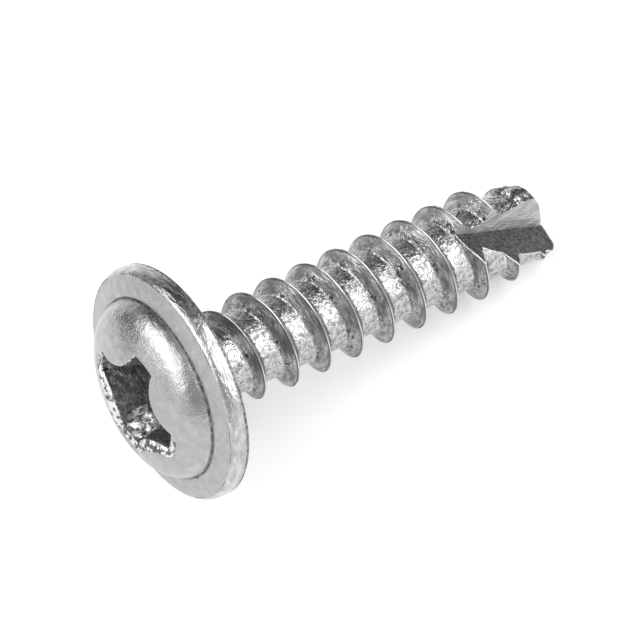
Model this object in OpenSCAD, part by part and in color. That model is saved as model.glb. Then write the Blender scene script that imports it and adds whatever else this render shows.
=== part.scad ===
// Pan head self-tapping screw, one solid piece, lying on its flange and its last full thread.
// All lengths are in millimetres. The tip points along +X and +Z is up.
// The origin is on the screw's axis, in the plane of the bearing face under the head.
// The head, the shank and the cuts are drawn upright, with the tip along +Z, and laid down at the end.

/* [Head] */
// Diameter of the washer flange under the head
flange_d = 9.04; // [8:0.1:11]
// Height of the flange's straight side above the bearing face
flange_side_h = 0.5; // [0.3:0.05:0.6]
// Diameter of the dome where it meets the flange
dome_d = 7.06; // [6.8:0.02:7.4]
// Height of the groove between dome and flange above the bearing face
groove_h = 0.97; // [0.9:0.01:1.1]
// Height of the whole head
head_h = 2.4; // [2.2:0.05:3]
// Radius of the flat crown of the dome
crown_r = 6.4; // [5:0.1:9]
// Radius of the dome's rounded shoulder
shoulder_r = 1.1; // [0.8:0.05:1.2]
// Diameter where the cone under the head meets the bearing face
neck_d = 4.2; // [4.1:0.05:4.6]
// Length of the cone under the head
neck_len = 0.5; // [0.3:0.05:0.8]

/* [Cross recess] */
// Distance between two opposite wing tips on the dome
recess_d = 4.4; // [3.8:0.05:4.8]
// Width of a wing at its tip
wing_w = 1.08; // [0.8:0.05:1.3]
// Height of the recess floor above the bearing face
recess_floor_h = 0.5; // [0.3:0.05:0.9]
// Slope of the wing ends, from the screw's axis
wing_end_slope = 24; // [15:1:28]
// Slope of the four rounded walls between the wings, from the screw's axis
wall_slope = 12; // [4:1:16]
// Depth of the point in the middle of the recess floor
recess_point_h = 0.3; // [0.1:0.05:0.5]
// Distance of the recess from the screw's axis, sideways, as the punch left it
recess_shift = 0.15; // [0:0.05:0.2]

/* [Shank and thread] */
// Length from the bearing face to the end
shank_len = 16.15; // [14:0.05:20]
// Diameter over the thread
thread_d = 4.0; // [3.8:0.05:4.2]
// Diameter between the threads
core_d = 2.86; // [2.6:0.02:3.1]
// Distance between two threads
thread_pitch = 1.415; // [1.2:0.005:1.6]
// Width of the flat on the thread's edge
crest_flat_w = 0.05; // [0.03:0.01:0.1]
// Angle between the two sides of the thread
thread_angle = 60; // [50:1:70]
// Distance from the bearing face to the thread's edge on the lower side
thread_start = 0.1; // [0:0.05:0.5]
// Distance from the end over which the thread gets lower
tip_fade_len = 2.5; // [1.5:0.05:3]
// Thread diameter on the last turn
tip_thread_d = 3.0; // [2.9:0.05:3.3]
// Diameter of the blunt point
end_d = 3.0; // [2.6:0.05:3.1]
// Height of the blunt point
end_h = 0.5; // [0.1:0.05:0.8]
// Lean of the sheared end, towards the screw's upper side
end_lean = 12; // [0:1:14]
// Turn of the screw about its own axis as it lies
rest_roll = 10; // [9:0.1:11]

/* [Cutting notch] */
// Distance from the end at which the notch first touches the thread's edge
notch_len = 5.25; // [3:0.05:6]
// Slope of the notch's bottom line
notch_slope = 25; // [15:1:30]
// Distance of the bottom line from the screw's axis, sideways
notch_offset = 0.22; // [0:0.02:0.6]
// Lean of the cutting face from upright
notch_lean = 6; // [0:1:12]
// Angle between the two faces of the notch
notch_angle = 101; // [85:1:115]

/* [Hidden] */
flange_r = flange_d / 2;
dome_r = dome_d / 2;
neck_r = neck_d / 2;
thread_r = thread_d / 2;
core_r = core_d / 2;

flange_edge_w = 0.18;
flange_edge_h = 0.24;
overlap = 0.3;

// The crown's centre lies on the axis and the shoulder circle touches the crown from inside
crown_y = crown_r - head_h;
shoulder_x = dome_r - shoulder_r;
shoulder_y = crown_y - sqrt(pow(crown_r - shoulder_r, 2) - pow(shoulder_x, 2));
touch_x = shoulder_x * crown_r / (crown_r - shoulder_r);

// The recess is a cone cut back by four round walls that get wider with depth
recess_r = recess_d / 2;
recess_rim_h = head_h - crown_r + sqrt(pow(crown_r, 2) - pow(recess_r, 2));
recess_floor_r = recess_r - (recess_rim_h - recess_floor_h) * tan(wing_end_slope);
recess_top_h = head_h + 0.4;
recess_top_r = recess_r + (recess_top_h - recess_rim_h) * tan(wing_end_slope);
wall_r = recess_r - wing_w / 2;
wall_top_r = wall_r - (recess_top_h - recess_rim_h) * tan(wall_slope);
wall_bottom_h = recess_floor_h - recess_point_h - 0.1;
wall_bottom_r = wall_r + (recess_rim_h - wall_bottom_h) * tan(wall_slope);

// The thread is one surface that climbs a whole turn for each pitch, with four rows a turn
steps = 36;
rows = 4;
lead_turns = 2;
turns = ceil(shank_len / thread_pitch) + lead_turns + 1;
ring = rows * turns;
side_run = (thread_r - core_r) * tan(thread_angle / 2);
row_shift = [-crest_flat_w / 2 - side_run, -crest_flat_w / 2, crest_flat_w / 2, crest_flat_w / 2 + side_run];
fade_from = shank_len - tip_fade_len;
run_out = [[thread_start + 0.6, core_r], [thread_start + 1.7, thread_r - 0.17],
           [thread_start + 3.5, thread_r], [fade_from, thread_r],
           [fade_from + 1, tip_thread_d / 2 + 0.07], [shank_len, tip_thread_d / 2]];

// The screw tips until its lowest thread edge meets the same floor as its flange
rest_edges = [for (k = [1 : turns - lead_turns]) thread_start + (k - rest_roll / 360) * thread_pitch];
rest_tilt = min([for (s = rest_edges) if (s < shank_len)
    atan((flange_r - edge_r(s)) / (s + crest_flat_w / 2))]);

// The head is turned so that its rim, meshed in 67 sides, lies on a side and not on a corner
rim_flat_turn = 180 / 67 - rest_roll;

// Slope of the cone behind the blunt point, and a radius beyond all of the shank
end_slope = 0.9 / 1.1;
far_r = 12;

curve_steps = 96;
steel = [0.74, 0.74, 0.75];

screw();

module screw() {
    color(steel)
        rotate([0, 90 + rest_tilt, 0]) rotate([0, 0, rest_roll])
            difference() {
                union() {
                    head();
                    shank();
                }
                recess();
                notch();
            }
}

// Dome, flange and the cone below them, turned as one shape
module head() {
    rotate([0, 0, rim_flat_turn]) rotate_extrude($fn = curve_steps)
        union() {
            polygon([[0, -groove_h - 0.03], [dome_r - 0.2, -groove_h - 0.03], [dome_r, -groove_h],
                [flange_r - flange_edge_w, -flange_side_h - flange_edge_h],
                [flange_r - flange_edge_w * 0.3, -flange_side_h - flange_edge_h * 0.6],
                [flange_r, -flange_side_h], [flange_r, 0], [neck_r, 0],
                [core_r - 0.08, neck_len], [0, neck_len]]);
            dome_shape();
        }
}

module dome_shape() {
    intersection() {
        translate([0, crown_y])
            circle(r = crown_r, $fn = curve_steps);
        translate([0, -head_h - 1])
            square([touch_x, head_h + 1 - overlap]);
    }
    intersection() {
        translate([shoulder_x, shoulder_y])
            circle(r = shoulder_r, $fn = curve_steps);
        translate([0, -head_h])
            square([dome_r + 1, head_h - 2 * overlap]);
    }
}

// Cross recess: a cone for the wing ends, cut back by the walls between the wings
module recess() {
    translate([0, -recess_shift, 0]) difference() {
        union() {
            translate([0, 0, -recess_top_h])
                cylinder(h = recess_top_h - recess_floor_h, r1 = recess_top_r, r2 = recess_floor_r,
                    $fn = curve_steps);
            translate([0, 0, -recess_floor_h - overlap * tan(20)])
                cylinder(h = recess_point_h + overlap * tan(20), r1 = recess_floor_r - 0.12, r2 = 0.1,
                    $fn = curve_steps);
        }
        for (turn = [45 : 90 : 315])
            rotate([0, 0, turn])
                translate([recess_r * sqrt(2), 0, -recess_top_h - 0.1])
                    cylinder(h = recess_top_h + 0.1 - wall_bottom_h, r1 = wall_top_r, r2 = wall_bottom_r,
                        $fn = curve_steps);
    }
}

// Threaded shank: the climbing surface, trimmed to the screw's length
module shank() {
    intersection() {
        thread_body();
        translate([0, 0, -overlap])
            cylinder(h = shank_len + 1, r = thread_r + 0.6, $fn = curve_steps);
        translate([0, 0, shank_len - end_h])
            rotate([0, -end_lean, 0])
                rotate_extrude($fn = curve_steps)
                    polygon([[0, -shank_len * 1.5], [far_r, -shank_len * 1.5],
                        [far_r, -(far_r - end_d / 2) * end_slope], [end_d / 2, 0], [0, end_h]]);
    }
}

function edge_r(s) = lookup(s, run_out);

function climb(column, row) = thread_start + (floor(row / rows) - lead_turns + column / steps) * thread_pitch;

function row_r(column, row) = (row % rows == 1 || row % rows == 2) ? edge_r(climb(column, row)) : core_r;

function spot(column, row) = [
    row_r(column, row) * cos(360 * column / steps),
    row_r(column, row) * sin(360 * column / steps),
    climb(column, row) + row_shift[row % rows]
];

// Where a turn closes, the surface joins the first column one turn higher
function at(column, row) = column < steps ? column * ring + row
    : row + rows < ring ? row + rows : steps * ring + row + rows - ring;

module thread_body() {
    foot = steps * ring + rows;
    top = foot + 1;
    points = concat(
        [for (column = [0 : steps - 1]) for (row = [0 : ring - 1]) spot(column, row)],
        [for (row = [ring : ring + rows - 1]) spot(0, row)],
        [[0, 0, climb(0, 0)], [0, 0, climb(0, ring) + thread_pitch / 2]]
    );
    sides = [for (column = [0 : steps - 1]) for (row = [0 : ring - 2]) for (half = [0, 1])
        half == 0 ? [at(column, row), at(column + 1, row + 1), at(column + 1, row)]
                  : [at(column, row), at(column, row + 1), at(column + 1, row + 1)]];
    foot_fan = [for (column = [0 : steps - 1]) [foot, at(column, 0), at(column + 1, 0)]];
    foot_step = [for (row = [0 : rows - 1]) [foot, row + 1, row]];
    top_fan = [for (column = [0 : steps - 1]) [top, at(column + 1, ring - 1), at(column, ring - 1)]];
    top_step = concat([[top, ring - 1, steps * ring]],
        [for (row = [0 : rows - 2]) [top, steps * ring + row, steps * ring + row + 1]]);
    polyhedron(points, concat(sides, foot_fan, foot_step, top_fan, top_step), convexity = 10);
}

// Wedge that cuts the notch, with its bottom line sinking towards the end
module notch() {
    reach = 5;
    far_angle = notch_angle - notch_lean;
    translate([-thread_r, -notch_offset, shank_len - notch_len])
        rotate([0, notch_slope, 0])
            translate([0, 0, -1])
                linear_extrude(height = notch_len * 2)
                    polygon([[0, 0],
                        [-reach * cos(notch_lean), reach * sin(notch_lean)],
                        [-reach * cos(far_angle), -reach * sin(far_angle)]]);
}
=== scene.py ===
# %% [markdown]
# # A pan head self-tapping screw
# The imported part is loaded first. It gives the frame that everything below is measured in, and its
# box, which the finished screw must not outgrow. The real thing is one piece of bright steel, so the
# lesson makes one mesh for it, with the marks that heading, rolling and milling leave on a real one.

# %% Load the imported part
import math

import bmesh
import bpy
import numpy as np
from mathutils import Matrix, Quaternion, Vector, noise


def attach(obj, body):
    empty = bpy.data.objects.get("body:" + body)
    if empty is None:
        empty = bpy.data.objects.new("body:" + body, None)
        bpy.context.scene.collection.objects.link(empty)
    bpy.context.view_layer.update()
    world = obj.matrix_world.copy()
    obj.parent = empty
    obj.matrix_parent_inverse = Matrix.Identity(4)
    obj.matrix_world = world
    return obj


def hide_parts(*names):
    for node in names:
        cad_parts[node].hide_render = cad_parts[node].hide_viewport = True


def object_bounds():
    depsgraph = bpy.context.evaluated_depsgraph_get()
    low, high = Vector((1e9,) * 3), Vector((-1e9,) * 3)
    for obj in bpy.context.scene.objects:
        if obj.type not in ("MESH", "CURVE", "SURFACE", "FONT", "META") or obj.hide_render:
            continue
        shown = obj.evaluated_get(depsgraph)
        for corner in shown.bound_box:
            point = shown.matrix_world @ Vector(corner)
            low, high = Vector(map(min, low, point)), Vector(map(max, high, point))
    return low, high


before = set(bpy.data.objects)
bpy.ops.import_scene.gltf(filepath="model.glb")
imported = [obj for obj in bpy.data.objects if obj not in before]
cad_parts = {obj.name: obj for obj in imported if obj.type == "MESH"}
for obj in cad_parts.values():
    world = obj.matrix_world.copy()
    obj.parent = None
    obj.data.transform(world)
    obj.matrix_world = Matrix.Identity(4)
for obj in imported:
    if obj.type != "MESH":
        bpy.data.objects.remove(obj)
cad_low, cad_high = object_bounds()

print("CAD box, mm:", [round(1000 * v, 2) for v in (*cad_low, *cad_high)])

# %% [markdown]
# ## How the screw lies
# The screw is drawn upright in millimetres, with its axis on Z, the bearing face at Z = 0 and the
# tip up, and laid down at the end. The CAD source does the same, so its sizes hold here too, and
# every point of this mesh can be set against the solid. At rest it touches the floor with its rim
# and with one thread edge, so its axis leans down towards the tip.

# %% Upright in millimetres, then laid down in metres
MM = 0.001
REST_TILT, REST_ROLL = 10.835, 10.0
LAY_DOWN = (Matrix.Rotation(math.radians(90 + REST_TILT), 4, "Y")
            @ Matrix.Rotation(math.radians(REST_ROLL), 4, "Z"))
print("the tip points to", [round(v, 3) for v in LAY_DOWN.to_3x3().col[2]])

# %% [markdown]
# ## Noise and nets
# Worn steel is uneven everywhere, so most of the shapes below are pushed a little by noise. It could
# be sculpted by hand, but noise in code gives the same part on every run. Torn metal breaks in small
# flat facets, and noise that is rounded to a few steps looks like that.

# %% Noise at points
TORN_STEPS = 3


def lumps(points, size, seed=0.0):
    """Smooth noise from -1 to 1 at each point, with lumps about `size` mm wide."""
    return np.array([noise.noise(Vector(p) / size + Vector((seed, seed, seed))) for p in points])


def blocky(points, size, seed):
    """Noise in flat steps, like metal that tore in small facets."""
    return np.round(TORN_STEPS * lumps(points, size, seed)) / TORN_STEPS


origin = np.zeros((1, 3))
print("noise at the origin:", lumps(origin, 1.0)[0], "and in steps:", blocky(origin, 1.0, 0.5)[0])

# %% [markdown]
# Every body here is a net: rings of points with the same count, joined to each other and closed by a
# pole at each end. Closed bodies are what the booleans need later.

# %% Bodies from rings of points
def solid(name, points, faces):
    """A mesh object from points in mm, with its normals turned outwards."""
    mesh = bpy.data.meshes.new(name)
    mesh.from_pydata([tuple(p) for p in points], [], faces)
    shape = bmesh.new()
    shape.from_mesh(mesh)
    bmesh.ops.recalc_face_normals(shape, faces=shape.faces)
    shape.to_mesh(mesh)
    shape.free()
    made = bpy.data.objects.new(name, mesh)
    bpy.context.collection.objects.link(made)
    print(name, "has", len(mesh.polygons), "faces")
    return made


def rings_to_solid(name, rings, poles):
    """Rings of points, each with the same count, joined into a closed body between two poles."""
    count = len(rings[0])
    points = np.vstack([*rings, np.array(poles)])
    faces = []
    for r in range(len(rings) - 1):
        for c in range(count):
            d = (c + 1) % count
            faces.append((r * count + c, r * count + d, (r + 1) * count + d, (r + 1) * count + c))
    first, last = len(points) - 2, len(points) - 1
    end = (len(rings) - 1) * count
    for c in range(count):
        d = (c + 1) % count
        faces.append((first, d, c))
        faces.append((last, end + c, end + d))
    return solid(name, points, faces)


def ring(angle, r, h, shift=0.0):
    """Points at the given angles and radii, h mm over the bearing face, on the head's side of it."""
    return np.column_stack([r * np.cos(angle), r * np.sin(angle) - shift, -h + 0 * r])


# %% [markdown]
# ## The head
# A real head is struck in a die: a low dome with a rounded shoulder, a fine groove, and a flange. The
# cross is punched into it, here a little off centre. A boolean would cut the cross from a smooth
# dome, but its edges would stay knife sharp. So the head is one net of rings and columns instead.

# %% Sizes of the head in mm
HEAD_H, CROWN_R, SHOULDER_R, DOME_R = 2.4, 6.4, 1.1, 3.53
GROOVE_H = 0.97
FLANGE_R, FLANGE_SIDE = 4.517, 0.5
EDGE_W, EDGE_H = 0.18, 0.24
NECK_R, NECK_LEN, NECK_END_R = 2.1, 0.5, 1.35
SHOULDER_X = DOME_R - SHOULDER_R
SHOULDER_H = HEAD_H - CROWN_R + math.sqrt((CROWN_R - SHOULDER_R) ** 2 - SHOULDER_X ** 2)
TOUCH_X = SHOULDER_X * CROWN_R / (CROWN_R - SHOULDER_R)


def dome_height(r):
    """Height of the dome over the bearing face, at distance r from the axis."""
    crown = HEAD_H - CROWN_R + np.sqrt(CROWN_R ** 2 - np.minimum(r, TOUCH_X) ** 2)
    shoulder = SHOULDER_H + np.sqrt(np.maximum(SHOULDER_R ** 2 - (r - SHOULDER_X) ** 2, 0))
    return np.where(r < TOUCH_X, crown, shoulder)


print("the shoulder starts at r", round(TOUCH_X, 2), "and height", round(float(dome_height(TOUCH_X)), 2))

# %% [markdown]
# The cross gets wider towards its mouth. Each wing ends on a cone, and the walls between the wings
# are round. Where an end meets a wall there is a corner, and a column of the net is laid through
# each of the eight corners, so that they stay crisp.

# %% Outline of the cross
RECESS_R, WING_W, RECESS_SHIFT = 2.2, 1.08, 0.15
FLOOR_H, POINT_H = 0.5, 0.3
WING_SLOPE, WALL_SLOPE = math.radians(24), math.radians(12)
RIM_H = HEAD_H - CROWN_R + math.sqrt(CROWN_R ** 2 - RECESS_R ** 2)
WALL_REACH = RECESS_R * math.sqrt(2)
COLUMNS = 384
EIGHTH = COLUMNS // 8
CORNER_COLUMN = 15


def wing_end(h):
    """Distance of a wing's end from the cross's middle."""
    return RECESS_R - (RIM_H - h) * math.tan(WING_SLOPE)


def wall_radius(h):
    """Radius of the round wall between two wings, whose middle is WALL_REACH away."""
    return RECESS_R - WING_W / 2 + (RIM_H - h) * math.tan(WALL_SLOPE)


def corner_angle(h):
    """Angle from a wing's middle to its corner, where the wing's end meets a side wall."""
    end = wing_end(h)
    beside = (end ** 2 + WALL_REACH ** 2 - wall_radius(h) ** 2) / (2 * end * WALL_REACH)
    return math.pi / 4 - np.arccos(beside)


def column_angles(h):
    """Angles of all columns, with one on each corner of the cross at height h."""
    corner = corner_angle(h)
    quarter, k = np.divmod(np.arange(COLUMNS), 2 * EIGHTH)
    fold = np.minimum(k, 2 * EIGHTH - k)
    on_end = corner * fold / CORNER_COLUMN
    on_wall = corner + (math.pi / 4 - corner) * ((fold - CORNER_COLUMN) / (EIGHTH - CORNER_COLUMN))
    angle = np.where(fold < CORNER_COLUMN, on_end, on_wall)
    return np.where(k <= EIGHTH, angle, math.pi / 2 - angle) + quarter * math.pi / 2


def cross_outline(angle, h):
    """Distance from the cross's middle to its outline."""
    folded = (angle + math.pi / 4) % (math.pi / 2) - math.pi / 4
    ahead = WALL_REACH * np.cos(math.pi / 4 - np.abs(folded))
    wall = ahead - np.sqrt(np.maximum(ahead ** 2 - WALL_REACH ** 2 + wall_radius(h) ** 2, 0))
    return np.minimum(wall, wing_end(h))


print("corner of the cross at", round(math.degrees(corner_angle(RIM_H)), 2), "degrees")

# %% [markdown]
# The punch dragged the rim of the cross down on one side and tore it. Sculpting would show that too,
# but would have to be done again after every change. So the walls of the net are built from the
# floor up to the real height of the dome at each column, and simply end lower on that side.

# %% Rings inside the cross
CHIP_DEPTH, CHIP_WIDTH = 0.16, 0.42
NEAR_SLOPE, NEAR_MIDDLE = 1.5, 0.25
FLOOR_RINGS = (0.25, 0.5, 0.75, 0.92)
WALL_RINGS, WALL_TOP = 15, 0.97
WALL_STEP, WALL_BULGE = 0.03, 0.02
MOUTH_ROUNDS = 6


def near_side(angle):
    """1 on the side of the cross where the punch broke the rim down, 0 on the other side."""
    return np.clip(NEAR_SLOPE * np.cos(angle) + NEAR_MIDDLE, 0, 1)


def mouth_of_cross():
    """Angle, radius and height of each column where the cross meets the dome, found in a few rounds."""
    angle = column_angles(RIM_H)
    r = cross_outline(angle, RIM_H)
    for _ in range(MOUTH_ROUNDS):
        h = dome_height(np.hypot(r * np.cos(angle), r * np.sin(angle) - RECESS_SHIFT))
        r = cross_outline(angle, h)
    return angle, r, h


def cross_rings():
    """Rings from the floor's point outwards, then up the walls, which are stepped by small tears."""
    low = column_angles(FLOOR_H)
    made = [ring(low, cross_outline(low, FLOOR_H) * t, FLOOR_H - POINT_H * (1 - t), RECESS_SHIFT)
            for t in FLOOR_RINGS]
    top_h = mouth_h - CHIP_DEPTH * near_side(mouth_angle)
    for t in np.linspace(0, WALL_TOP, WALL_RINGS):
        h = FLOOR_H + (top_h - FLOOR_H) * t
        angle = column_angles(h)
        p = ring(angle, cross_outline(angle, h), h, RECESS_SHIFT)
        if 0 < t < WALL_TOP:
            p[:, 2] += WALL_STEP * blocky(p, 0.24, 4.0)
            p[:, :2] *= (1 + WALL_BULGE * blocky(p, 0.2, 6.0))[:, None]
        made.append(p)
    return made


mouth_angle, mouth_r, mouth_h = mouth_of_cross()
cross = cross_rings()
print("rings in the cross:", len(cross), "up to", round(float(mouth_h.max()), 2), "mm")

# %% [markdown]
# From the mouth the rings pass over to even circles round the screw's axis, so that no seam shows
# between them. They are close together where the rim is torn. The chips are deepest at the mouth and
# fade within CHIP_WIDTH. The shoulder of the dome follows, down to the groove.

# %% Rings of the dome
EVEN = np.linspace(0, 2 * math.pi, COLUMNS, endpoint=False)
CROWN_END_R = 2.95
CROWN_RINGS = (0.02, 0.045, 0.07, 0.1, 0.13, 0.16, 0.2, 0.25, 0.3, 0.36, 0.48, 0.6, 0.72, 0.84, 0.94)
TORN_H, TORN_SIZE, TORN_SHIFT = 0.07, 0.17, 0.3
LIP_DROP = 0.015
SHOULDER_BENDS = np.radians(np.linspace(62, 14, 13))


def circle(r, h):
    """A ring of the head round the screw's axis."""
    return ring(EVEN, np.full(COLUMNS, float(r)), h)


def crown_rings():
    """Rings from the mouth of the cross to the end of the crown."""
    made = []
    inner = ring(mouth_angle, mouth_r, 0.0, RECESS_SHIFT)
    outer = circle(CROWN_END_R, 0.0)
    for t in CROWN_RINGS:
        p = inner * (1 - t) + outer * t
        p[:, 2] = -dome_height(np.hypot(p[:, 0], p[:, 1]))
        from_mouth = np.linalg.norm((p - inner)[:, :2], axis=1)
        chip = near_side(mouth_angle) * np.clip(1 - from_mouth / CHIP_WIDTH, 0, 1)
        torn = np.minimum(chip * 3, 1) * (blocky(p, TORN_SIZE, 2.0) + TORN_SHIFT)
        p[:, 2] += CHIP_DEPTH * chip + TORN_H * torn
        made.append(p)
    made[0][:, 2] += LIP_DROP
    return made


def shoulder_rings():
    """Rings from the crown down to the groove."""
    return [circle(SHOULDER_X + SHOULDER_R * math.cos(bend), SHOULDER_H + SHOULDER_R * math.sin(bend))
            for bend in SHOULDER_BENDS]


dome = crown_rings() + shoulder_rings()
print("rings on the dome:", len(dome))

# %% [markdown]
# The flange has a sloping face, a front edge that the die rounded, a short straight side and a
# bearing face. A cone under it leads into the shank. All of it is round, so one list of radii and
# heights draws it, with the same columns as the dome.

# %% Rings of the flange and the neck
FACE_R, FACE_H = FLANGE_R - EDGE_W, FLANGE_SIDE + EDGE_H
EDGE_FOOT_H = 0.36
GROOVE_RINGS = ((-0.005, 0.03), (0.012, -0.035), (0.05, -0.03))
SIDE_RINGS = (0.3, 0.22, 0.14)
FOOT_RINGS = ((-0.01, 0.05), (-0.05, 0.0))
BEARING_RINGS = (4.3, 4.0, 3.6, 3.2, 2.8, 2.4)
CORNER_RINGS = ((0.02, -0.01), (-0.05, -0.06))
NECK_RINGS = (0.3, 0.5, 0.7, 0.85, 1.0)


def flange_profile():
    """Radius and height of each ring, from the groove round the flange to the end of the neck."""
    made = [(DOME_R + out, GROOVE_H + up) for out, up in GROOVE_RINGS]
    for t in np.linspace(0.12, 0.94, 8):
        made.append((DOME_R + (FACE_R - DOME_R) * t, GROOVE_H + (FACE_H - GROOVE_H) * t))
    for bend in np.linspace(0, math.pi / 2, 10):
        h = EDGE_FOOT_H + (FACE_H - EDGE_FOOT_H) * math.cos(bend)
        made.append((FACE_R + EDGE_W * math.sin(bend), h))
    made += [(FLANGE_R, h) for h in SIDE_RINGS]
    made += [(FLANGE_R + out, h) for out, h in FOOT_RINGS]
    made += [(r, 0.0) for r in BEARING_RINGS]
    made += [(NECK_R + out, h) for out, h in CORNER_RINGS]
    made += [(NECK_R + (NECK_END_R - NECK_R) * t, -NECK_LEN * t) for t in NECK_RINGS]
    return made


flange = [circle(r, h) for r, h in flange_profile()]
head_poles = [(0, -RECESS_SHIFT, POINT_H - FLOOR_H), (0, 0, NECK_LEN)]
head = rings_to_solid("head", cross + dome + flange, head_poles)

# %% [markdown]
# ## The thread
# A rolled thread is one ridge that climbs the shank. Screw modifiers make it too, but leave a seam at
# each end. Here each ring of points climbs by one pitch as it goes round, and where it closes it
# meets the next turn, so the whole shank is one closed net. The ridge rises near the head, where the
# dies begin, and gets lower at the tip, so that the screw can start its own thread.

# %% The ridge
LENGTH, THREAD_R, CORE_R, PITCH = 16.15, 2.0, 1.43, 1.415
CREST_W, FLANK_ANGLE = 0.05, math.radians(30)
THREAD_START, FADE, TIP_R = 0.1, 2.5, 1.5
FADE_FROM = LENGTH - FADE
EDGE_PLACES = (THREAD_START + 0.6, THREAD_START + 1.7, THREAD_START + 3.5, FADE_FROM, FADE_FROM + 1, LENGTH)
EDGE_RADII = (CORE_R, THREAD_R - 0.17, THREAD_R, THREAD_R, TIP_R + 0.07, TIP_R)
CREST_ROUNDING, CREST_ROUND_W, ROOT_ROUNDING, EXP_LIMIT = 0.012, 0.02, 0.03, 30


def edge_radius(z):
    """Radius of the thread's edge at height z: it rises near the head and drops at the tip."""
    return np.interp(z, EDGE_PLACES, EDGE_RADII)


def ridge_radius(across, edge):
    """Radius at `across` mm from the ridge's middle, with a rounded edge and a small root radius."""
    from_crest = np.abs(across) - CREST_W / 2
    top = np.minimum(edge - from_crest / math.tan(FLANK_ANGLE), edge)
    rounded = top - CREST_ROUNDING * np.exp(-(from_crest / CREST_ROUND_W) ** 2)
    over_core = np.clip((rounded - CORE_R) / ROOT_ROUNDING, -EXP_LIMIT, EXP_LIMIT)
    return CORE_R + ROOT_ROUNDING * np.log1p(np.exp(over_core))


print("radius on the ridge and in the root:",
      [round(float(ridge_radius(across, THREAD_R)), 3) for across in (0, PITCH / 2)])

# %% [markdown]
# Points are close together on the ridge and far apart on the root. Rolling leaves dents in the root
# and soft waves on the ridge's flanks, and the blank's end was squeezed, so the last turns are
# crumpled and one of them is bent outwards. All of these push the net's own points, so that they
# also show in the outline, which a bump in the finish can't do.

# %% Shank with its ridge
STEPS = 132
TURNS = range(-1, 12)
HALF_PROFILE = (0.02, 0.045, 0.09, 0.14, 0.19, 0.235, 0.26, 0.3, 0.36, 0.43)
PROFILE = (-0.5, *(-p for p in reversed(HALF_PROFILE)), 0.0, *HALF_PROFILE)
DENT, SMALL_DENT, DENTS_TO, DENTS_FADE = 0.012, 0.006, 1.62, 0.15
WAVE, WAVES_FROM, WAVES_FADE, WAVE_ALONG = 0.01, 1.5, 0.2, 1.5
CRUMPLE, CRUMPLE_FROM, CRUMPLE_FADE, CRUMPLE_TO_R = 0.09, 14.3, 0.8, 1.9
BENT, BENT_TURN, BENT_Z, BENT_TURN_WIDTH, BENT_Z_WIDTH = 0.11, -80, 15.25, 40, 0.35
NEAR_EDGE, RIDGE_FOOT = 0.1, CORE_R + 0.04


def shank_rings():
    """The climbing rings. PROFILE gives their places across the ridge, as shares of the pitch."""
    made = []
    around = np.arange(STEPS) / STEPS
    angle = 2 * math.pi * around
    for turn in TURNS:
        middle = THREAD_START + (turn + around) * PITCH
        for share in PROFILE:
            r = ridge_radius(np.full(STEPS, share * PITCH), edge_radius(middle))
            made.append(np.column_stack([r * np.cos(angle), r * np.sin(angle), middle + share * PITCH]))
    return made


def worn(points):
    """The shank's points, pushed outwards and along it by dents, waves and crumples."""
    x, y, z = points.T
    r = np.hypot(x, y)
    turn = np.degrees(np.arctan2(y, x))
    dents = DENT * lumps(points, 0.32) + SMALL_DENT * lumps(points, 0.14, 7.0)
    waves = WAVE * lumps(points, 0.9, 3.0) * np.clip((r - WAVES_FROM) / WAVES_FADE, 0, 1)
    crumple = CRUMPLE * lumps(points, 0.4, 11.0) * np.clip((z - CRUMPLE_FROM) / CRUMPLE_FADE, 0, 1)
    bent = BENT * np.exp(-((turn - BENT_TURN) / BENT_TURN_WIDTH) ** 2 - ((z - BENT_Z) / BENT_Z_WIDTH) ** 2)
    push = np.clip((DENTS_TO - r) / DENTS_FADE, 0, 1) * dents
    push -= np.abs(waves) * (r > edge_radius(z) - NEAR_EDGE)
    push += crumple * (r < CRUMPLE_TO_R) + bent * (r > RIDGE_FOOT)
    return np.column_stack([x + x / r * push, y + y / r * push, z + waves * WAVE_ALONG])


def shank_body():
    """The shank as one closed net, with a fan of faces at each end."""
    rings = shank_rings()
    points = worn(np.vstack(rings))
    last = len(rings) - len(PROFILE) - 1

    def at(column, row):
        """Where a ring closes, it joins the first column one turn higher."""
        return row * STEPS + column if column < STEPS else (row + len(PROFILE)) * STEPS

    foot, top = len(points), len(points) + 1
    points = np.vstack([points, (0, 0, points[0, 2]), (0, 0, points[last * STEPS, 2] + PITCH)])
    faces = [(at(c, row), at(c + 1, row), at(c + 1, row + 1), at(c, row + 1))
             for row in range(last) for c in range(STEPS)]
    for c in range(STEPS):
        faces.append((foot, at(c + 1, 0), at(c, 0)))
        faces.append((top, at(c, last), at(c + 1, last)))
    for row in range(len(PROFILE)):
        faces.append((foot, row * STEPS, (row + 1) * STEPS))
        faces.append((top, (last + row + 1) * STEPS, (last + row) * STEPS))
    used = sorted({v for face in faces for v in face})
    place = {v: k for k, v in enumerate(used)}
    return solid("shank", points[used], [tuple(place[v] for v in face) for face in faces])


screw = shank_body()

# %% [markdown]
# ## Cutting and joining
# The shank is trimmed to length, joined with the head, and notched. All three are booleans, and each
# body is closed, which is what Blender's quick manifold solver asks for. The changes are applied at
# once, because the finishes are later given to the faces that are left.

# %% Boolean helper
def combine(target, other, how):
    """Applies a boolean of `other` to `target`, then drops `other`."""
    change = target.modifiers.new(how, "BOOLEAN")
    change.object = other
    change.operation = how
    change.solver = "MANIFOLD"
    graph = bpy.context.evaluated_depsgraph_get()
    mesh = bpy.data.meshes.new_from_object(target.evaluated_get(graph))
    target.modifiers.clear()
    target.data = mesh
    bpy.data.objects.remove(other)
    print(how, "leaves", len(mesh.polygons), "faces")


# %% [markdown]
# The blank's end was sheared at a slant and then squeezed by the rolling dies, so it is blunt and
# uneven. It could be modelled on the shank's last rings, but those climb and the end doesn't. So a
# turned envelope round the whole shank, with a lumpy end that leans a little, trims it.

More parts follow.
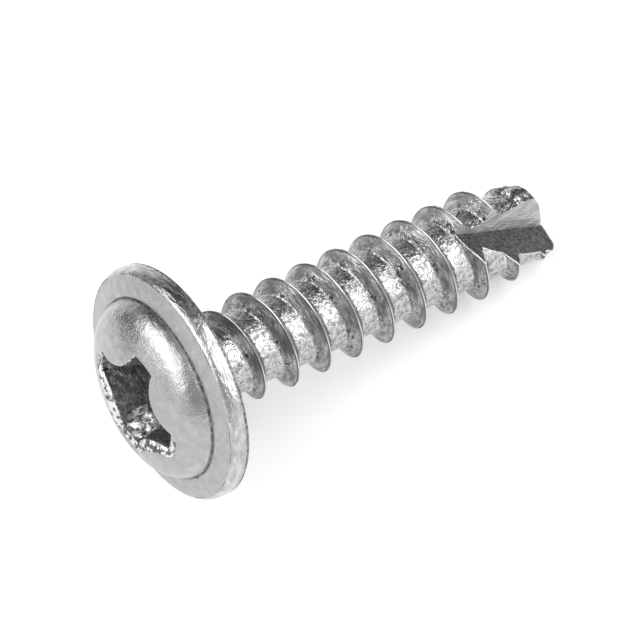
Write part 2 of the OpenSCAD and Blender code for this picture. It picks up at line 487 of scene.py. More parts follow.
# %% Envelope of the shank, with its sheared end
END_H, END_LEAN = 0.5, 12.0
END_TURN = np.array(Matrix.Rotation(math.radians(-END_LEAN), 3, "Y"))
END_PLACE = np.array((0, 0, LENGTH - END_H))
ENVELOPE_COLUMNS, ENVELOPE_R = 140, 2.6
END_CURVE = np.linspace(0.1, 1.25, 9)
END_LUMP, END_BREAK, END_PINCH = 0.05, 0.025, 0.4


def envelope():
    """A closed body round what stays of the shank. `end` counts down from the blunt point's foot."""
    even = np.linspace(0, 2 * math.pi, ENVELOPE_COLUMNS, endpoint=False)
    side = [(0.4, -0.45), (1.2, -0.45), (2.5, -0.44), (ENVELOPE_R, 3), (ENVELOPE_R, 10), (ENVELOPE_R, 13.9)]
    end = [(ENVELOPE_R, 0.9), (2.05, 0.45), (1.75, 0.2), (1.58, 0.06)]
    end += [(TIP_R * math.cos(t) ** 0.4, -0.06 - 0.36 * math.sin(t)) for t in END_CURVE]
    end += [(0.7, -0.43), (0.45, -0.45), (0.2, -0.46)]
    rings = [ring(even, np.full(ENVELOPE_COLUMNS, float(r)), -z) for r, z in side]
    for r, below in end:
        p = ring(even, np.full(ENVELOPE_COLUMNS, float(r)), below)
        bump = END_LUMP * lumps(p, 0.5, 5.0) + END_BREAK * blocky(p, 0.22, 9.0)
        p[:, 2] += bump - END_LUMP
        p[:, :2] *= (1 - END_PINCH * np.abs(bump))[:, None]
        rings.append(p @ END_TURN.T + END_PLACE)
    return rings_to_solid("envelope", rings, [(0, 0, -0.45), END_TURN @ (0, 0, 0.42) + END_PLACE])


combine(screw, envelope(), "INTERSECT")
combine(screw, head, "UNION")

# %% [markdown]
# ## The cutting notch
# A slot mill leaves two flat faces, with fine ridges that run along its path. The cutter below is a
# wedge whose two working faces are fine nets, and their points are pushed in or out by about a
# hundredth of a millimetre. The cut faces of the screw take those ridges over. The wedge sinks
# towards the tip, so the last turns are cut away most, which gives them an edge that cuts.

# %% Wedge of the slot mill
NOTCH_LEN, NOTCH_SLOPE, NOTCH_OFFSET = 5.25, 25.0, 0.22
NOTCH_LEAN, NOTCH_ANGLE = math.radians(6), math.radians(101)
NOTCH_FAR = NOTCH_ANGLE - NOTCH_LEAN
NOTCH_PLACE = (Matrix.Translation((-THREAD_R, -NOTCH_OFFSET, LENGTH - NOTCH_LEN))
               @ Matrix.Rotation(math.radians(NOTCH_SLOPE), 4, "Y"))
MILL_REACH, MILL_START, MILL_END, MILL_SECTIONS = 3.0, -1, 2 * NOTCH_LEN - 1, 150
COARSE_TO, FINE_FROM = 0.675, 0.6375
STREAK, BACK_GAP = 0.010, 0.1


def streak(column, z):
    """Noise that changes quickly across the mill's path and slowly along it."""
    broad = noise.noise(Vector((column * 0.9, z * 0.35, 2.0)))
    fine = noise.noise(Vector((column * 2.3, z * 0.9, 8.0)))
    return STREAK * (broad + 0.5 * fine)


def notch_cutter():
    """The mill's path as a closed wedge. Its bottom line is Z of its own frame."""
    across = np.concatenate([np.linspace(MILL_REACH, COARSE_TO, 8), np.linspace(FINE_FROM, 0.0, 26)])
    upper = [(-t * math.cos(NOTCH_LEAN), t * math.sin(NOTCH_LEAN)) for t in across]
    lower = [(-t * math.cos(NOTCH_FAR), -t * math.sin(NOTCH_FAR)) for t in across[::-1][1:]]
    section = upper + lower
    along = np.linspace(MILL_START, MILL_END, MILL_SECTIONS)
    points = []
    for z in along:
        for column, (x, y) in enumerate(section):
            push = streak(column, z)
            points.append((x, y + push, z) if column < len(upper) else (x - push, y, z))
    count = len(section)
    faces = [(k * count + j, k * count + j + 1, (k + 1) * count + j + 1, (k + 1) * count + j)
             for k in range(MILL_SECTIONS - 1) for j in range(count - 1)]
    back, top = len(points), (MILL_SECTIONS - 1) * count
    corner = (upper[0][0] - BACK_GAP, lower[-1][1] - BACK_GAP)
    points += [(*corner, along[0]), (*corner, along[-1])]
    faces.append((*range(count), back))
    faces.append((*range(top, top + count), back + 1))
    faces.append((*(k * count for k in range(MILL_SECTIONS)), back + 1, back))
    faces.append((*(k * count + count - 1 for k in range(MILL_SECTIONS)), back + 1, back))
    made = solid("notch cutter", points, faces)
    made.data.transform(NOTCH_PLACE)
    return made


combine(screw, notch_cutter(), "DIFFERENCE")
screw.name = "screw_body"
print("triangles:", sum(len(face.vertices) - 2 for face in screw.data.polygons))

# %% [markdown]
# ## Finishes
# All of it is the same steel, but each tool left its own surface. What the surfaces share is made
# once, in node groups, so that a change there reaches all of them. These helpers add math nodes to
# a tree, so that a sum of sockets reads like a line of arithmetic, and open a group with its sockets.

# %% Small helpers for node trees
def calculator(tree):
    """A function that adds one math node to the tree and gives its output."""

    def calc(kind, a, b=None, c=None, clamp=False):
        node = tree.nodes.new("ShaderNodeMath")
        node.operation, node.use_clamp = kind, clamp
        for k, v in enumerate((a, b, c)):
            if isinstance(v, (int, float)):
                node.inputs[k].default_value = v
            elif v is not None:
                tree.links.new(v, node.inputs[k])
        return node.outputs[0]

    return calc


def dot_product(tree, socket, toward):
    """How far a vector reaches in one direction."""
    node = tree.nodes.new("ShaderNodeVectorMath")
    node.operation = "DOT_PRODUCT"
    tree.links.new(socket, node.inputs[0])
    node.inputs[1].default_value = toward
    return node.outputs["Value"]


def new_group(name, inputs, outputs):
    """An empty shader group with the given sockets: the group, its input node and its output node."""
    group = bpy.data.node_groups.new(name, "ShaderNodeTree")
    for socket, kind, value in inputs:
        group.interface.new_socket(socket, in_out="INPUT", socket_type=kind).default_value = value
    for socket, kind in outputs:
        group.interface.new_socket(socket, in_out="OUTPUT", socket_type=kind)
    print("group", name, "with", len(group.interface.items_tree), "sockets")
    return group, group.nodes.new("NodeGroupInput"), group.nodes.new("NodeGroupOutput")


# %% [markdown]
# Marks that a die or a roll leaves run round the screw. This group turns a place on the part into
# three lengths: round the axis, away from it, and along it. Noise laid in them runs the same way. An
# unwrapped image would do it too, but has a seam at every cut. This has one, on the lower side.

# %% Place on the screw, measured round its axis
TYPICAL_R = 2.0


def around_axis_group():
    group, _, out = new_group("around the axis", [], [("Place", "NodeSocketVector")])
    calc = calculator(group)
    where = group.nodes.new("ShaderNodeTexCoord").outputs["Object"]
    x, y, z = (dot_product(group, where, LAY_DOWN.to_3x3().col[axis] / MM) for axis in range(3))
    turn = calc("ARCTAN2", calc("MULTIPLY", y, -1.0), calc("MULTIPLY", x, -1.0))
    away = calc("SQRT", calc("ADD", calc("MULTIPLY", x, x), calc("MULTIPLY", y, y)))
    place = group.nodes.new("ShaderNodeCombineXYZ")
    for k, length in enumerate((calc("MULTIPLY", turn, TYPICAL_R), away, z)):
        group.links.new(length, place.inputs[k])
    group.links.new(place.outputs[0], out.inputs["Place"])
    return group


AROUND = around_axis_group()

# %% [markdown]
# Bright steel up close is patches of lighter and darker tone, a fine grain and a few thin lines. An
# image of it would repeat and blur, while noise stays sharp at any distance. The same noise drives
# colour, roughness and height, so that a dark spot is also a dull and low one.

# %% Worn metal group
LINE_W, LINE_DEPTH, GRAIN_HEIGHT = 0.035, 0.25, 0.35


def worn_metal_group():
    number, colour = "NodeSocketFloat", "NodeSocketColor"
    group, given, out = new_group(
        "worn metal",
        [("Place", "NodeSocketVector", (0, 0, 0)), ("Light", colour, (0.6, 0.6, 0.6, 1)),
         ("Dark", colour, (0.3, 0.3, 0.3, 1)), ("Patch Size", number, 0.3), ("Patch Edge", number, 0.2),
         ("Patch Middle", number, 0.5), ("Grain Size", number, 0.05), ("Grain", number, 0.7),
         ("Line Size", number, 0.3), ("Lines", number, 0.0), ("Smooth", number, 0.2), ("Rough", number, 0.4)],
        [("Color", colour), ("Roughness", number), ("Height", number)])
    calc, get = calculator(group), given.outputs

    def noise_of(size, detail, roughness):
        node = group.nodes.new("ShaderNodeTexNoise")
        node.inputs["Detail"].default_value = detail
        node.inputs["Roughness"].default_value = roughness
        group.links.new(get["Place"], node.inputs["Vector"])
        group.links.new(calc("DIVIDE", 1.0, get[size]), node.inputs["Scale"])
        return node.outputs["Fac"]

    patch = noise_of("Patch Size", 3.0, 0.55)
    grain = noise_of("Grain Size", 2.0, 0.6)
    swirl = noise_of("Line Size", 1.0, 0.5)
    low = calc("SUBTRACT", get["Patch Middle"], get["Patch Edge"])
    mask = calc("DIVIDE", calc("SUBTRACT", patch, low), calc("MULTIPLY", get["Patch Edge"], 2.0), clamp=True)
    off_line = calc("DIVIDE", calc("ABSOLUTE", calc("SUBTRACT", swirl, 0.5)), LINE_W, clamp=True)
    line = calc("MULTIPLY", calc("SUBTRACT", 1.0, off_line), get["Lines"])
    speckle = calc("MULTIPLY_ADD", calc("SUBTRACT", grain, 0.5), get["Grain"], mask, clamp=True)
    tone = group.nodes.new("ShaderNodeMix")
    tone.data_type = "RGBA"
    group.links.new(calc("MULTIPLY", speckle, calc("SUBTRACT", 1.0, line), clamp=True), tone.inputs["Factor"])
    group.links.new(get["Dark"], tone.inputs["A"])
    group.links.new(get["Light"], tone.inputs["B"])
    span = calc("SUBTRACT", get["Rough"], get["Smooth"])
    rough = calc("MULTIPLY_ADD", calc("SUBTRACT", 1.0, speckle), span, get["Smooth"])
    bumps = calc("MULTIPLY_ADD", grain, GRAIN_HEIGHT, patch)
    height = calc("SUBTRACT", bumps, calc("MULTIPLY", line, LINE_DEPTH))
    group.links.new(tone.outputs["Result"], out.inputs["Color"])
    group.links.new(rough, out.inputs["Roughness"])
    group.links.new(height, out.inputs["Height"])
    return group


WORN_METAL = worn_metal_group()

# %% [markdown]
# Each finish is one material: the shared groups with its own values, and its own shader. They are
# separate materials and not one with masks, because each face has just one finish. Sizes and the
# depth of the bump are in millimetres. A stretch under 1 draws the marks out in that direction.

# %% One steel finish
FINISHES = {}


def steel(finish, name, light, dark, depth, stretch=(1, 1, 1), around=False, **values):
    """Adds a finish. `values` are inputs of the worn metal group, in lower case."""
    made = bpy.data.materials.new(name)
    made.use_nodes = True
    nodes, links = made.node_tree.nodes, made.node_tree.links
    shader = nodes["Principled BSDF"]
    shader.inputs["Metallic"].default_value = 1.0
    scaled = nodes.new("ShaderNodeVectorMath")
    scaled.operation = "MULTIPLY"
    if around:
        place = nodes.new("ShaderNodeGroup")
        place.node_tree = AROUND
        links.new(place.outputs["Place"], scaled.inputs[0])
        scaled.inputs[1].default_value = stretch
    else:
        links.new(nodes.new("ShaderNodeTexCoord").outputs["Object"], scaled.inputs[0])
        scaled.inputs[1].default_value = [v / MM for v in stretch]
    metal = nodes.new("ShaderNodeGroup")
    metal.node_tree = WORN_METAL
    links.new(scaled.outputs[0], metal.inputs["Place"])
    metal.inputs["Light"].default_value = (light, light, light, 1)
    metal.inputs["Dark"].default_value = (dark, dark, dark, 1)
    for key, value in values.items():
        metal.inputs[key.replace("_", " ").title()].default_value = value
    bump = nodes.new("ShaderNodeBump")
    bump.inputs["Strength"].default_value = 1.0
    bump.inputs["Distance"].default_value = depth * MM
    links.new(metal.outputs["Color"], shader.inputs["Base Color"])
    links.new(metal.outputs["Roughness"], shader.inputs["Roughness"])
    links.new(metal.outputs["Height"], bump.inputs["Height"])
    links.new(bump.outputs["Normal"], shader.inputs["Normal"])
    FINISHES[finish] = made


sockets = WORN_METAL.interface.items_tree
print("inputs of a finish:", [socket.name for socket in sockets if socket.in_out == "INPUT"])

# %% [markdown]
# The die left the dome and the flange satin, with the dome a little smoother, and both have a fine
# grain in their highlights. The rim is wrinkled round the screw, so its marks are placed round the
# axis. The walls of the cross are painted dark, as painted shade in the hollow. Where its rim was torn,
# the facets are painted in bright and black patches, which stand for glints and shade.

# %% Finishes of the head
steel("dome", "struck dome steel", 0.44, 0.34, 0.032, patch_size=0.35, patch_edge=0.25,
      smooth=0.14, rough=0.23, grain_size=0.05, grain=0.9)
steel("satin", "struck satin steel", 0.43, 0.34, 0.03, patch_size=0.35, patch_edge=0.25,
      smooth=0.25, rough=0.34, grain_size=0.05, grain=0.9)
steel("rim", "rolled rim steel", 0.56, 0.36, 0.05, (0.8, 1, 1), around=True, patch_size=0.25,
      patch_edge=0.12, smooth=0.18, rough=0.28, line_size=0.3, lines=0.45, grain_size=0.09)
# The walls inside the cross: painted shade.
steel("recess", "punched steel with painted shade", 0.34, 0.13, 0.05, patch_size=0.25, patch_edge=0.10,
      smooth=0.25, rough=0.45, lines=0.5)
# Torn facets in bright and black patches: painted glints and painted shade.
steel("chips", "torn rim steel with painted glints and shade", 0.75, 0.10, 0.02, patch_size=0.24, patch_edge=0.05, patch_middle=0.47,
      smooth=0.15, rough=0.30)
# Painted shade: the dark groove and the thin dark lines on the rim.
steel("groove", "steel with painted shade lines", 0.30, 0.10, 0.03, patch_size=0.15, patch_edge=0.1, smooth=0.35, rough=0.5)
print("finishes of the head:", list(FINISHES))

# %% [markdown]
# The dies rubbed the root bright, with dents and grey cells. The ridge's flanks are duller and scored
# near the root, and just under the edge they carry a narrow band of painted shade. The edge itself is a
# thin bright line. These steps are narrow, and a finish for each keeps them crisp.

# %% Finishes of the shank
steel("root", "rolled root steel", 0.56, 0.26, 0.06, patch_size=0.2, patch_edge=0.10, patch_middle=0.44,
      smooth=0.14, rough=0.25, line_size=0.25, lines=0.5, grain_size=0.11)
steel("fillet", "polished fillet steel", 0.70, 0.5, 0.02, patch_size=0.3, patch_edge=0.2,
      smooth=0.12, rough=0.2)
steel("flank", "rolled flank steel", 0.45, 0.20, 0.06, (0.35, 1, 1), around=True, patch_size=0.25,
      patch_edge=0.10, smooth=0.24, rough=0.36, line_size=0.3, lines=0.5)
steel("scored", "scored flank steel", 0.42, 0.06, 0.1, patch_size=0.2, patch_edge=0.05, patch_middle=0.44,
      smooth=0.15, rough=0.3, line_size=0.3, lines=0.9, grain_size=0.11)
# A narrow band of painted shade on the flank, just under the ridge's edge.
steel("painted shade under edge", "flank steel with painted shade under the edge", 0.2, 0.12, 0.02, patch_size=0.35, patch_edge=0.16,
      smooth=0.28, rough=0.40)
steel("edge", "bright edge steel", 0.70, 0.5, 0.01, patch_size=0.3, patch_edge=0.2,
      smooth=0.15, rough=0.25)
print("finishes so far:", len(FINISHES))

# %% [markdown]
# The notch's upper face is pale. Its lower face lies in shade, and that shade is painted into its
# steel, which is nearly black. Two tones keep them apart, whatever the room mirrors there. The sheared
# end is the wildest surface of all, with deep swirls.

# %% Finishes of the tip
steel("milled", "milled steel", 0.66, 0.42, 0.05, (0.25, 1, 1), patch_size=0.2, patch_edge=0.10,
      smooth=0.42, rough=0.5, lines=0.3)
# The notch's lower face: the same milled steel, painted nearly black as painted shade.
steel("milled with painted shade", "milled steel with painted shade", 0.14, 0.06, 0.05, (0.5, 1, 1), patch_size=0.11,
      patch_edge=0.11, smooth=0.3, rough=0.4, grain=1.0)
steel("sheared", "sheared steel", 0.62, 0.10, 0.10, patch_size=0.3, patch_edge=0.07,
      smooth=0.14, rough=0.3, line_size=0.4, lines=0.8, grain_size=0.2, grain=0.3)
print("finishes:", len(FINISHES))

# %% [markdown]
# ## Which face gets which finish
# Painting masks by hand would be lost with every change of the mesh. Here the finish of a face is
# read from its place on the upright screw, before it is laid down. On the head, `h` is the height
# over the bearing face. The groove, the foot of the flange and a line where the rim's front edge
# begins are painted with thin lines of shade that come and go.

# %% Finishes by place on the head
CROSS_REACH, UNDER_DOME, OUTSIDE_CROSS = 2.4, 0.012, 0.01
END_WALL, END_WALL_LOW, END_WALL_HIGH = math.radians(22), 0.9, 1.7
GROOVE_W, GROOVE_SPREAD, GROOVE_DEEP = 0.01, 0.05, 0.07
FOOT_LINE_W, FOOT_LINE_H = 0.055, 0.12
FRONT_LINE, RIM_SHARE = 0.84, 0.9


def patchy(centre, size, seed):
    """Smooth noise at one place."""
    return noise.noise(Vector(centre) / size + Vector((seed, seed, seed)))


def head_finish(centre, r, h):
    """Finish of a face of the head at distance r from the axis and height h."""
    x, y = centre[0], centre[1] + RECESS_SHIFT
    from_middle, turn = math.hypot(x, y), math.atan2(y, x)
    # Inside the cross the walls get painted shade.
    if from_middle < CROSS_REACH and h < float(dome_height(r)) - UNDER_DOME:
        outside = from_middle > float(cross_outline(turn, h)) + OUTSIDE_CROSS
        end_wall = abs(turn) < END_WALL and END_WALL_LOW < h < END_WALL_HIGH
        # The torn rim and one wing's end wall get painted glints and shade.
        return "chips" if outside or end_wall else "recess"
    # The groove, the flange's foot and a line on the rim get painted shade, in patches.
    groove_w = GROOVE_W + GROOVE_SPREAD * max(patchy(centre, 0.5, 3.0), 0.0)
    if abs(r - DOME_R) < groove_w and abs(h - GROOVE_H) < GROOVE_DEEP:
        return "groove"
    if h < FOOT_LINE_H and r > FLANGE_R - FOOT_LINE_W:
        return "groove"
    from_edge = (FLANGE_R - r) / EDGE_W
    if FRONT_LINE < from_edge < 1 and h > FLANGE_SIDE and patchy(centre, 1.2, 13.0) > -0.1:
        return "groove"
    if from_edge < RIM_SHARE:
        return "rim"
    return "dome" if r < DOME_R else "satin"


print("middle of the flange's face:", head_finish((4.0, 0.0, -0.85), 4.0, 0.85))

# %% [markdown]
# On the shank the finish follows from how far a face is from the ridge's edge and from the root. The
# scored patches are larger where the screw turns away to the sides, and on top of the half towards
# the tip. Behind the flange the ridge runs out, and the root on its head side is dull like a flank.

# %% Finishes by place on the shank
ROOT_TOP, FILLET_TOP = CORE_R + 0.035, CORE_R + 0.065
EDGE_DROP, UNDER_EDGE_DROP = 0.035, 0.085
DULL_TO, DULL_FAR, DULL_NEAR = 1.7, -0.62, -0.2
SCORED_FROM, SCORED_SPREAD = 0.95, 0.8
SIDE_TURN, SIDE_EXTRA = 65, 0.25
TOP_TURN, TOP_FROM, TOP_EXTRA = 45, 8, 0.2


def from_ridge(centre):
    """Distance along the screw from the middle of the nearest ridge, negative on the head's side."""
    climbed = math.atan2(centre[1], centre[0]) / (2 * math.pi)
    return ((centre[2] - THREAD_START) / PITCH - climbed + 0.5) % 1.0 * PITCH - PITCH / 2


def more_scored(centre):
    """What the scored patches gain at this place."""
    from_top = abs(math.degrees(math.atan2(centre[1], -centre[0])))
    if from_top > SIDE_TURN:
        return SIDE_EXTRA
    return TOP_EXTRA if centre[2] > TOP_FROM and from_top < TOP_TURN else 0.0


def shank_finish(centre, r, z):
    """Finish of a face of the shank at distance r from the axis and z from the bearing face."""
    edge = edge_radius(z)
    if r < ROOT_TOP:
        return "flank" if z < DULL_TO and DULL_FAR < from_ridge(centre) < DULL_NEAR else "root"
    if r > edge - EDGE_DROP:
        return "edge"
    if r < FILLET_TOP:
        return "fillet"
    near_root = (edge - r) / (edge - CORE_R)
    if near_root + SCORED_SPREAD * patchy(centre, 0.4, 21.0) + more_scored(centre) > SCORED_FROM:
        return "scored"
    # Just under the edge the flank gets painted shade.
    return "painted shade under edge" if r > edge - UNDER_EDGE_DROP else "flank"


print("middle of the root:", shank_finish((CORE_R, 0.0, 6.0), CORE_R, 6.0))

# %% [markdown]
# The notch's two faces are found in the mill's own frame: near one of its two planes, and turned the
# right way. What is left past the last full turns was sheared and squeezed.

# %% Finishes of the whole screw
INTO_MILL = NOTCH_PLACE.inverted()
MILLED_GAP, MILLED_TURN = 0.04, -0.7
MILLED_FROM, CUT_FROM = -0.6, LENGTH - NOTCH_LEN - 0.2
SHEARED_FROM, SHEARED_FROM_BELOW, LOWER_SIDE, UPPER_SIDE = 14.4, 13.5, 0.5, -0.3
TOWARDS_END, OFF_ROOT = 0.3, CORE_R + 0.05
HEAD_FROM, BEARING_DEPTH, BEARING_FROM = -0.01, 0.02, 2.2


def milled_finish(centre, normal):
    """Which milled face this is, or None."""
    inside = INTO_MILL @ Vector(centre)
    turned = INTO_MILL.to_3x3() @ Vector(normal)
    if inside.z <= MILLED_FROM or centre[2] <= CUT_FROM:
        return None
    from_upper = abs(inside.x * math.sin(NOTCH_LEAN) + inside.y * math.cos(NOTCH_LEAN))
    from_lower = abs(inside.x * math.sin(NOTCH_FAR) - inside.y * math.cos(NOTCH_FAR))
    if from_upper < MILLED_GAP and turned.y < MILLED_TURN:
        return "milled"
    # The lower face takes the steel with painted shade.
    return "milled with painted shade" if from_lower < MILLED_GAP and turned.x < MILLED_TURN else None


def is_sheared(x, r, z, normal):
    """True past the last full turns, except for the root on the lower side."""
    past_turns = z > (SHEARED_FROM_BELOW if x > LOWER_SIDE else SHEARED_FROM)
    return past_turns and (normal[2] > TOWARDS_END or x < UPPER_SIDE or r > OFF_ROOT)


def finish_of(centre, normal):
    """Name of the finish of the face with this middle and normal."""
    x, y, z = centre
    r = math.hypot(x, y)
    if z < HEAD_FROM:
        return head_finish(centre, r, -z)
    if r > NECK_R:
        return "satin" if z < BEARING_DEPTH and r > BEARING_FROM else "flank"
    milled = milled_finish(centre, normal)
    if milled:
        return milled
    return "sheared" if is_sheared(x, r, z, normal) else shank_finish(centre, r, z)


names = list(FINISHES)
screw.data.materials.clear()
for name in names:
    screw.data.materials.append(FINISHES[name])
counts = dict.fromkeys(names, 0)
for face in screw.data.polygons:
    found = finish_of(tuple(face.center), tuple(face.normal))
    face.material_index = names.index(found)
    counts[found] += 1
print("faces by finish:", counts)

# %% [markdown]
# Smooth shading hides the net. The edges of the cross and of the notch have to stay sharp though,
# and so do the facets of torn metal. One angle finds all of them.

# %% Smooth and sharp
SHARP_FROM = math.radians(38)

screw.data.shade_smooth()
screw.data.set_sharp_from_angle(angle=SHARP_FROM)
print("sharp edges:", sum(edge.use_edge_sharp for edge in screw.data.edges))

# %% [markdown]
# ## Burrs
# A mill turns up a burr where its cut leaves the metal, and it shows as a bright thread beside the
# notch's lower face with its painted shade. Drawn by hand it would miss the edges of the cut. So the
# edges round the notch's lower face are found by the finishes on their two sides, and joined into lines.

# %% Lines round the notch
def burr_edges():
    """Neighbours of each mesh point along the edges where the lower milled face ends."""
    sides = {}
    for face in screw.data.polygons:
        for key in face.edge_keys:
            sides.setdefault(key, set()).add(names[face.material_index])
    beside = {}
    for (a, b), found in sides.items():
        if "milled with painted shade" in found and not found <= {"milled", "milled with painted shade"}:
            beside.setdefault(a, set()).add(b)
            beside.setdefault(b, set()).add(a)
    return beside


def burr_lines():
    """Chains of places along those edges. Very short ones are left out."""
    beside, chains = burr_edges(), []
    while beside:
        chain = [next((v for v in beside if len(beside[v]) == 1), next(iter(beside)))]
        while beside.get(chain[-1]):
            nearby = beside[chain[-1]].pop()
            beside[nearby].discard(chain[-1])
            chain.append(nearby)
        beside = {v: near for v, near in beside.items() if near}
        if len(chain) > 3:
            chains.append([screw.data.vertices[v].co.copy() for v in chain])
    return chains


burrs = burr_lines()
print("burr lines:", len(burrs))

# %% [markdown]
# Each line becomes a thin wire, half sunk in the steel. A curve with a bevel makes such a wire from
# any line, and its radius can change from point to point, as a torn burr does.

# %% Wires along them
BURR, BURR_WOBBLE = 0.036, 0.02
THIN, THICKER = 0.7, 0.9


def burr_wire(chains):
    """A mesh of thin closed tubes along the chains."""
    curve = bpy.data.curves.new("burrs", "CURVE")
    curve.dimensions, curve.use_fill_caps = "3D", True
    curve.bevel_depth, curve.bevel_resolution = BURR, 1
    for chain in chains:
        line = curve.splines.new("POLY")
        line.points.add(len(chain) - 1)
        for point, place in zip(line.points, chain):
            wobble = Vector([BURR_WOBBLE * patchy(place, 0.15, seed) for seed in (1.0, 5.0, 9.0)])
            point.co = (*(place + wobble), 1)
            point.radius = THIN + THICKER * abs(patchy(place, 0.3, 0.0))
    made = bpy.data.objects.new("burrs", curve)
    bpy.context.collection.objects.link(made)
    mesh = bpy.data.meshes.new_from_object(made.evaluated_get(bpy.context.evaluated_depsgraph_get()))
    bpy.data.objects.remove(made)
    return mesh


both = bmesh.new()
both.from_mesh(screw.data)
before = len(both.faces)
both.from_mesh(burr_wire(burrs))
both.faces.ensure_lookup_table()
for face in both.faces[before:]:
    face.material_index, face.smooth = names.index("edge"), True
print("wire faces:", len(both.faces) - before)
both.to_mesh(screw.data)
both.free()

# %% [markdown]
# The mesh is finished. It is laid down, scaled to metres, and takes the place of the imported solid.
# The points themselves are moved, so that the object keeps no turn and no scale of its own.

# %% Lay the screw down
screw.data.transform(Matrix.Scale(MM, 4) @ LAY_DOWN)
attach(screw, "root")
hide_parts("screw")
print("laid down:", screw.name)

# %% [markdown]
# ## Floor, light and camera
# The photo was taken on a white sweep between large soft lights, with dark gaps between them, and
# the metal shows all of that. The floor is white paper, with a wedge left out behind the head,
# because the dome mirrors a dark gap there. For the camera and in reflections it glows a little, so
# that it stays white while it still takes the screw's soft shadow. A plain white plane would turn
# grey, or hide the shadow once it is lit enough to be white.

# %% Floor
PAPER, GLOW = 0.7, 0.42
PAPER_HALF = 0.6
WEDGE = [(-0.28, PAPER_HALF), (-0.021, 0.043), (-0.039, 0.030), (-PAPER_HALF, 0.46)]
PAPER_CORNERS = [(-PAPER_HALF, -PAPER_HALF), (PAPER_HALF, -PAPER_HALF), (PAPER_HALF, PAPER_HALF), *WEDGE]


def white_floor():
    """The paper on the floor, which glows for the camera and for reflections only."""
    mesh = bpy.data.meshes.new("floor")
    corners = [(x, y, cad_low[2]) for x, y in PAPER_CORNERS]
    mesh.from_pydata(corners, [], [tuple(range(len(corners)))])
    made = bpy.data.objects.new("floor", mesh)
    bpy.context.collection.objects.link(made)
    paper = bpy.data.materials.new("white paper")
    paper.use_nodes = True
    nodes, links = paper.node_tree.nodes, paper.node_tree.links
    calc = calculator(paper.node_tree)
    nodes.remove(nodes["Principled BSDF"])
    matt, glow = nodes.new("ShaderNodeBsdfDiffuse"), nodes.new("ShaderNodeEmission")
    both = nodes.new("ShaderNodeAddShader")
    matt.inputs["Color"].default_value = (PAPER, PAPER, PAPER, 1)
    rays = nodes.new("ShaderNodeLightPath").outputs
    seen = calc("ADD", rays["Is Camera Ray"], rays["Is Glossy Ray"])
    seen = calc("ADD", seen, rays["Is Transmission Ray"])
    links.new(calc("MULTIPLY", seen, GLOW), glow.inputs["Strength"])
    links.new(matt.outputs[0], both.inputs[0])
    links.new(glow.outputs[0], both.inputs[1])
    links.new(both.outputs[0], nodes["Material Output"].inputs["Surface"])
    mesh.materials.append(paper)
    return made


white_floor()
print("the floor is at", round(1000 * cad_low[2], 2), "mm")

# %% [markdown]
# Two softboxes light the screw. Their places and sizes were read from what the dome, the rim and the
# roots mirror in the photo. Area lamps give the same soft edges, and their light falls on the floor
# too. A lamp's power follows from its size here, so that its brightness stays when it is resized.

# %% Softboxes
LAMP_DISTANCE, SCREW_MIDDLE = 0.3, Vector((0.006, 0, 0))


def direction(azimuth, elevation):
    """Unit vector. The azimuth is counted in degrees from +X, where the tip points."""
    a, e = math.radians(azimuth), math.radians(elevation)
    return Vector((math.cos(a) * math.cos(e), math.sin(a) * math.cos(e), math.sin(e)))


def softbox(name, toward, half_wide, half_high, radiance, turn=0.0):
    """A rectangular lamp that faces the screw and covers the given half angles, seen from it."""
    width = 2 * LAMP_DISTANCE * math.tan(math.radians(half_wide))
    height = 2 * LAMP_DISTANCE * math.tan(math.radians(half_high))
    lamp = bpy.data.lights.new(name, "AREA")
    lamp.shape, lamp.size, lamp.size_y = "RECTANGLE", width, height
    lamp.energy = radiance * math.pi * width * height
    made = bpy.data.objects.new(name, lamp)
    bpy.context.collection.objects.link(made)
    made.location = SCREW_MIDDLE + toward * LAMP_DISTANCE
    facing = toward.to_track_quat("Z", "Y") @ Quaternion((0, 0, 1), math.radians(turn))
    made.rotation_euler = facing.to_euler()
    print(name, round(lamp.energy, 3), "W")


softbox("right softbox", direction(-42, 33), half_wide=31, half_high=27, radiance=2.3)
softbox("left softbox", direction(167, 40), half_wide=34, half_high=29, radiance=2.25, turn=12)

# %% [markdown]
# The room round the lamps is grey, a little brighter low behind the screw, and dark in three places.
# Steel mirrors those, for one as the dark patch on the dome. They are soft lobes in the world's
# shader. Dark cards in the scene would do the same, but would shade the floor as well.

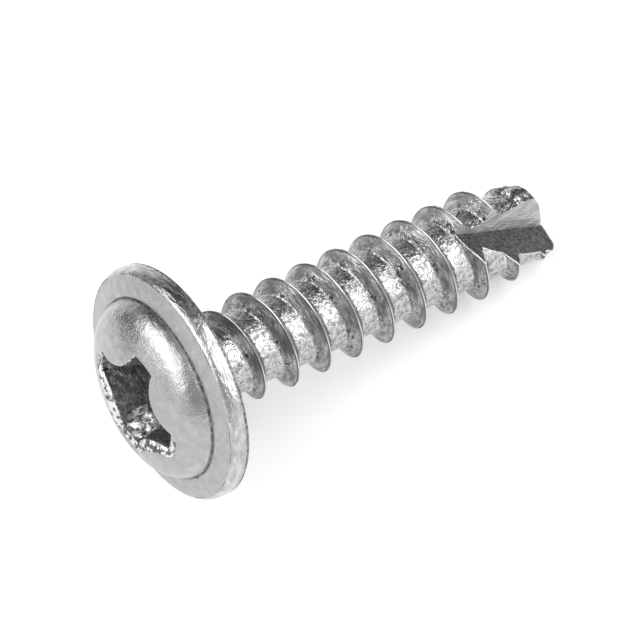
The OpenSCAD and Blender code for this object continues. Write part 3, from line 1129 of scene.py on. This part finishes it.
# %% The unlit room
ROOM_LEVEL = 0.58
ROOM_PARTS = [
    # direction, half angle where it starts, half angle where it is full, and its share of the level
    (direction(80, -4), 40, 22, 1.5),
    (direction(42, 50), 30, 14, 0.2),
    (direction(85, 42), 30, 14, 0.3),
    (direction(130, 4), 28, 17, 0.12),
]


def room():
    """The unlit room: one grey level, brighter or darker towards a few directions."""
    world = bpy.data.worlds.new("room")
    bpy.context.scene.world = world
    world.use_nodes = True
    tree = world.node_tree
    calc = calculator(tree)
    where = tree.nodes.new("ShaderNodeTexCoord").outputs["Generated"]
    level = ROOM_LEVEL
    for toward, wide, narrow, share in ROOM_PARTS:
        part = tree.nodes.new("ShaderNodeMapRange")
        part.interpolation_type = "SMOOTHSTEP"
        part.inputs["From Min"].default_value = math.cos(math.radians(wide))
        part.inputs["From Max"].default_value = math.cos(math.radians(narrow))
        part.inputs["To Min"].default_value = 1.0
        part.inputs["To Max"].default_value = share
        tree.links.new(dot_product(tree, where, toward), part.inputs["Value"])
        level = calc("MULTIPLY", part.outputs["Result"], level)
    tree.links.new(level, tree.nodes["Background"].inputs["Color"])
    print("room with", len(ROOM_PARTS), "parts")


room()

# %% [markdown]
# The camera was worked out from the rim, the groove and the thread's edges in the photo, so that each
# of them falls on its place in the picture. It is a long lens from above, on the head's side.

# %% Camera
CAMERA_PLACE = (-0.12035141, -0.23899042, 0.31474859)
CAMERA_TURN = [math.radians(v) for v in (40.11039, 6.39095, -35.41353)]
FOCAL_LENGTH, SENSOR_WIDTH = 643.755, 36.0


def camera():
    lens = bpy.data.cameras.new("camera")
    lens.lens, lens.sensor_width = FOCAL_LENGTH, SENSOR_WIDTH
    lens.clip_start, lens.clip_end = 0.01, 10
    made = bpy.data.objects.new("camera", lens)
    bpy.context.collection.objects.link(made)
    made.location, made.rotation_euler = CAMERA_PLACE, CAMERA_TURN
    bpy.context.scene.camera = made
    print("camera", round(Vector(CAMERA_PLACE).length, 3), "m away")


camera()
bpy.context.scene.view_settings.view_transform = "Standard"
